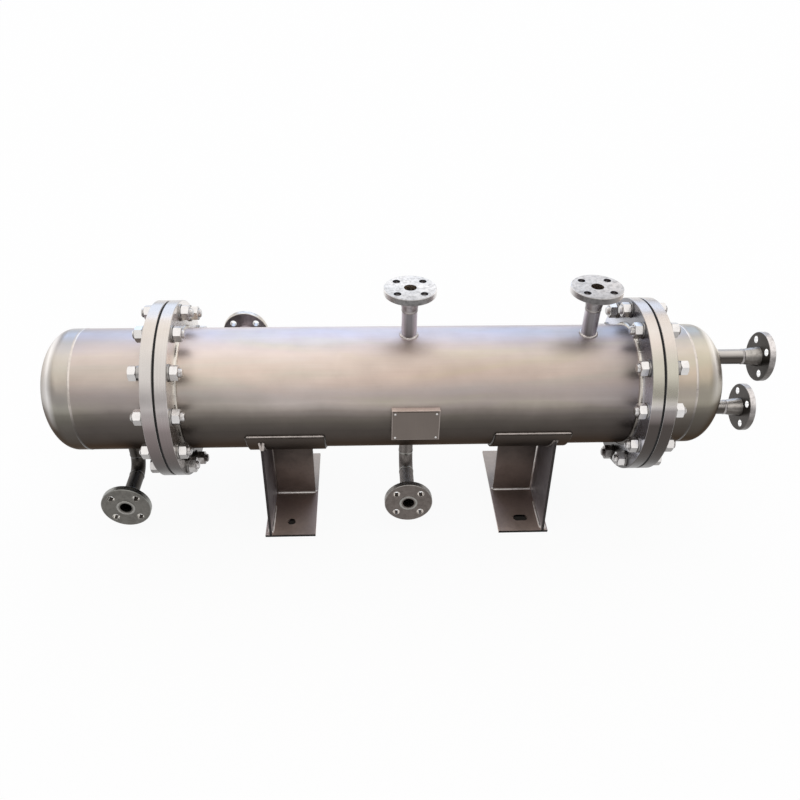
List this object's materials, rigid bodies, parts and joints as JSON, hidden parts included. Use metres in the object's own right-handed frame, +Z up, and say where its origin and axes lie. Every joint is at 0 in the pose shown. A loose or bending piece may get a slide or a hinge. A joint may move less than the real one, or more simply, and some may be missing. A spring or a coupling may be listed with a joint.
{
  "type": "shell and tube heat exchanger",
  "caption": "Small horizontal shell and tube heat exchanger in stainless steel with bolted bonnet channels, flanged nozzles and two welded saddles.",
  "frame": {"origin": "on the floor under the middle of the fixed saddle's base plate", "axes": "+X along the vessel toward the end with the two axial nozzles, +Y to the back, +Z up"},
  "size_m": [1.6258, 0.4534, 0.581],
  "materials": {
    "vessel_steel": "brushed along and around the barrel, satin",
    "machined_flange": "turned, fine rings",
    "nozzle_flange_steel": "turned face, satin rim",
    "gasket_black": "matt black",
    "saddle_steel": "dull plate with ground welds",
    "nameplate_metal": "bare satin"
  },
  "bodies": {
    "root": {"back_flange": "nozzle_flange_steel", "back_pipe": "vessel_steel", "bottom_centre_flange": "nozzle_flange_steel", "bottom_centre_pipe": "vessel_steel", "bottom_left_flange": "nozzle_flange_steel", "bottom_left_pipe": "vessel_steel", "end_lower_flange": "nozzle_flange_steel", "end_lower_pipe": "vessel_steel", "end_upper_flange": "nozzle_flange_steel", "end_upper_pipe": "vessel_steel", "left_base": "saddle_steel", "left_channel": "vessel_steel", "left_channel_flange": "machined_flange", "left_gasket": "gasket_black", "left_head": "vessel_steel", "left_rib": "saddle_steel", "left_tubesheet": "machined_flange", "left_wear_plate": "vessel_steel", "left_web": "saddle_steel", "nameplate": "nameplate_metal", "nameplate_bracket": "vessel_steel", "right_base": "saddle_steel", "right_channel": "vessel_steel", "right_channel_flange": "machined_flange", "right_gasket": "gasket_black", "right_head": "vessel_steel", "right_rib": "saddle_steel", "right_tubesheet": "machined_flange", "right_wear_plate": "vessel_steel", "right_web": "saddle_steel", "shell": "vessel_steel", "top_centre_flange": "nozzle_flange_steel", "top_centre_pipe": "vessel_steel", "top_right_flange": "nozzle_flange_steel", "top_right_pipe": "vessel_steel"}
  },
  "joints": []
}
